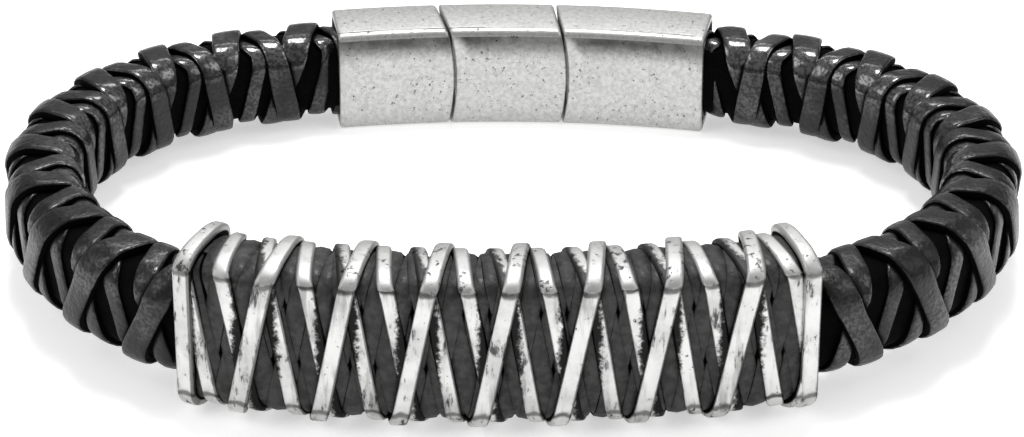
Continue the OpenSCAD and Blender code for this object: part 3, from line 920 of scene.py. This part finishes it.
def claspMaterial(name, look):
    material, net, where = newMaterial(name)
    out, up, fromLow = (net.attribute(label) for label in ("out", "up", "fromLow"))
    cloud = net.noise(where, look["cloud"], 4.0, 0.6)
    mottle = net.noise(where, look["mottle"], 4.0, 0.7)
    speck = net.noise(where, look["speck"], 3.0, 0.7)
    scratch = (net.noise(where, look["scratch"], 5.0, 0.7) - 0.5).through("ABSOLUTE")
    grimeAndShade = speck.ramp(0.62, 0.70) * 0.75
    grimeAndShade = grimeAndShade.least(scratch.ramp(0.0, 0.006, 0.6, 0.0) * cloud.ramp(0.60, 0.66))
    color = net.mix(mottle.ramp(0.35, 0.65), look["bright"], look["mid"])
    color = net.mix(cloud.ramp(0.50, 0.70) * 0.4, color, look["mid"])
    # a darker band under the upper edge of the inner side, thinning out beside each seam
    halfThick = clasp["thick"] / 2
    ridge = clasp["high"] / 2 - clasp["bevel"]
    inner = out.ramp(-halfThick + 0.12, -halfThick + 0.02, 0.0, 1.0)
    wavy = up + (cloud - 0.5) * 1.2 + (mottle - 0.5) * 0.4 - fromLow.ramp(0.1, 1.5, 1.3, 0.0)
    below = wavy.ramp(ridge - 2.3, ridge - 0.3) * up.ramp(ridge + 0.04, ridge + 0.16, 1.0, 0.0)
    color = net.mix(inner * below * cloud.ramp(0.35, 0.65, 1.0, 0.7), color, look["shade"])
    line = (out + halfThick - 0.66).through("ABSOLUTE")
    line = line.ramp(0.03, 0.12, 0.7, 0.0) * up.ramp(ridge + 0.4, ridge + 0.5)
    grimeAndShade = grimeAndShade.least(line * cloud.ramp(0.42, 0.52, 1.0, 0.15))
    height = mottle * 0.5 + cloud * 0.5 - grimeAndShade
    values = {"Base Color": color, "Metallic": 1.0, "Roughness": look["rough"] + 0.2 * mottle}
    finishMaterial(net, values, height, look["bump"], grimeAndShade)
    return material


claspPaint = claspMaterial("claspSilver", claspLook)
claspCentre = backY - claspRadius


def claspPoint(angle, out, up):
    reach = claspRadius + out
    return Vector((reach * math.sin(angle), claspCentre + reach * math.cos(angle), clasp["high"] / 2 + up)) * mm


def placed(where):
    return lambda out, up: where / claspRadius


def seamed(seam, shift):
    # a seam leans, and bows a little from top to foot
    place, turn = seam[0] + shift * clasp["seamGap"] / 2, math.radians(seam[1])

    def angleAt(out, up):
        bowed = math.sqrt(clasp["bow"] ** 2 - up ** 2) - clasp["bow"]
        across = place + bowed / math.cos(turn) - out * math.tan(turn)
        return math.asin(across / (claspRadius + out))

    return angleAt


def claspOutline(inset, sideSteps=10):
    bevel = clasp["bevel"]
    corners = outline(clasp["high"] - 2 * inset, clasp["thick"] - 2 * inset, bevel, bevel, bevel, cornerSteps=6)
    points = []
    for (x, y), (nextX, nextY) in zip(corners, corners[1:] + corners[:1]):
        # the tall sides carry points for the bowed seams
        steps = sideSteps if abs(nextY - y) > clasp["high"] / 2 - inset else 1
        points += [(x + (nextX - x) * i / steps, y + (nextY - y) * i / steps) for i in range(steps)]
    return points


def claspBlock(lowEnd, highEnd, lowOpen, highOpen):
    # rings from one end to the other: rounded lips, and a hollow where the leather goes in
    lip, middleRings, farFromSeam = clasp["lip"], 24, 10.0
    rounding = [(0.0, lip), (0.3 * lip, 0.45 * lip), (lip, 0.08 * lip), (1.8 * lip, 0.0)]
    hollow = [(2.6, 0.75), (2.4, 0.55), (0.15, 0.45), (0.0, 0.35)]
    # share of the way, distance in from that end, inset of the outline
    stations = [(0, inward, inset) for inward, inset in (hollow if lowOpen else []) + rounding]
    stations += [(i / middleRings, 1.8 * lip, 0.0) for i in range(1, middleRings)]
    stations += [(1, inward, inset) for inward, inset in reversed((hollow if highOpen else []) + rounding)]
    rings, outs, ups, fromLow = [], [], [], []
    for share, inward, inset in stations:
        rings.append([])
        for out, up in claspOutline(inset):
            low, high = lowEnd(out, up), highEnd(out, up)
            first, last = low + inward / claspRadius, high - inward / claspRadius
            angle = first + share * (last - first)
            rings[-1].append(claspPoint(angle, out, up))
            outs.append(out)
            ups.append(up)
            fromLow.append((angle - low) * claspRadius + (farFromSeam if lowOpen else 0.0))
    return tube(rings, claspPaint, {"out": outs, "up": ups, "fromLow": fromLow})


claspPieces = {  # where it starts and ends, which ends are open, and its node
    "claspLeftCap": (placed(-clasp["leftEnd"]), seamed(clasp["leftSeam"], -1), True, False, "clasp_left_cap"),
    "claspLink": (seamed(clasp["leftSeam"], 1), seamed(clasp["rightSeam"], -1), False, False, "clasp_link"),
    "claspRightCap": (seamed(clasp["rightSeam"], 1), placed(clasp["rightEnd"]), False, True, "clasp_right_cap"),
}
for name, (*shape, node) in claspPieces.items():
    piece(name, [claspBlock(*shape)], node)
print("clasp made")


# floor
def makeFloor():
    material, net, where = newMaterial("paleFloor")
    shade, far = lighting["floor"], 3.0
    color = net.mix(net.noise(where, 3.0, 2.0), (shade,) * 3, (shade * 0.99,) * 3)
    finishMaterial(net, {"Base Color": color, "Roughness": 0.9, "Emission Color": (1.0, 1.0, 1.0),
                         "Emission Strength": lighting["glow"]})
    mesh = bpy.data.meshes.new("floor")
    mesh.from_pydata([(-far, -far, 0), (far, -far, 0), (far, far, 0), (-far, far, 0)], [], [(0, 1, 2, 3)])
    mesh.materials.append(material)
    newObject("floor", mesh)


makeFloor()
for helper in (middleLine, laceOutline, coreOutline, sleeveOutline):
    bpy.data.objects.remove(helper)
print("floor laid")
